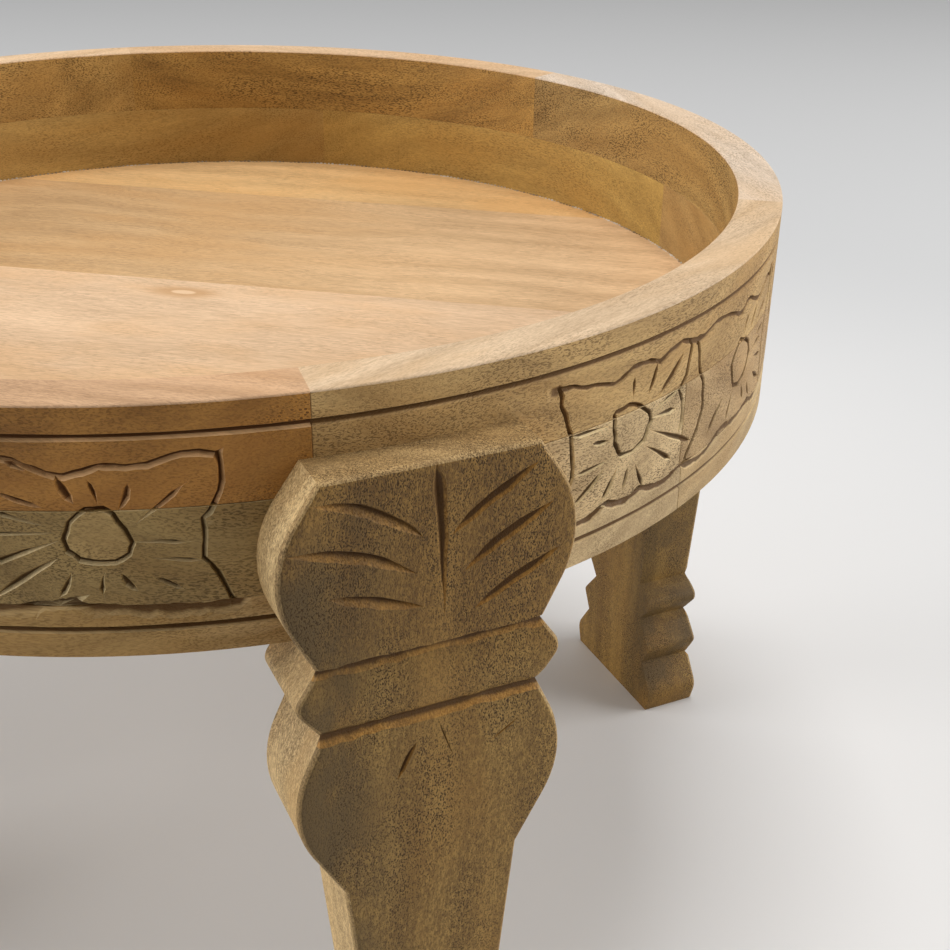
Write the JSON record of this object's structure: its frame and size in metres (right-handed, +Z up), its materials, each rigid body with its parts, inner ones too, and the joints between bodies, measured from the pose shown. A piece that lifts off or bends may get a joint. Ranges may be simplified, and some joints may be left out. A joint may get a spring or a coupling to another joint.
{
  "type": "coffee table",
  "caption": "Low round wooden tray table: a segmented ring with carved flower panels round a plank floor, on flat sawn legs notched under and lapped over the ring.",
  "frame": {"origin": "on the ground under the middle of the round tray", "axes": "+Z up, -Y towards the leg nearest the viewer, +X towards the leg on the viewer's right; a leg stands on each horizontal axis"},
  "size_m": [0.634, 0.634, 0.404],
  "materials": {
    "ring_wood": "mango wood, sanded and clear waxed, matt, with dark pores",
    "floor_wood": "mango wood, sanded and clear waxed, pale warm grain",
    "leg_wood": "mango wood with grey stain and dark pores, matt",
    "dowel_wood": "plain turned hardwood dowel"
  },
  "bodies": {
    "root": {"upper_rim_segment_1": "ring_wood", "upper_rim_segment_2": "ring_wood", "upper_rim_segment_3": "ring_wood", "upper_rim_segment_4": "ring_wood", "upper_rim_segment_5": "ring_wood", "upper_rim_segment_6": "ring_wood", "lower_rim_segment_1": "ring_wood", "lower_rim_segment_2": "ring_wood", "lower_rim_segment_3": "ring_wood", "lower_rim_segment_4": "ring_wood", "lower_rim_segment_5": "ring_wood", "lower_rim_segment_6": "ring_wood", "floor_board_1": "floor_wood", "floor_board_2": "floor_wood", "floor_board_3": "floor_wood", "floor_board_4": "floor_wood", "front_leg": "leg_wood", "right_leg": "leg_wood", "back_leg": "leg_wood", "left_leg": "leg_wood", "leg_lap_dowels": "dowel_wood", "leg_shelf_dowels": "dowel_wood"}
  },
  "joints": []
}
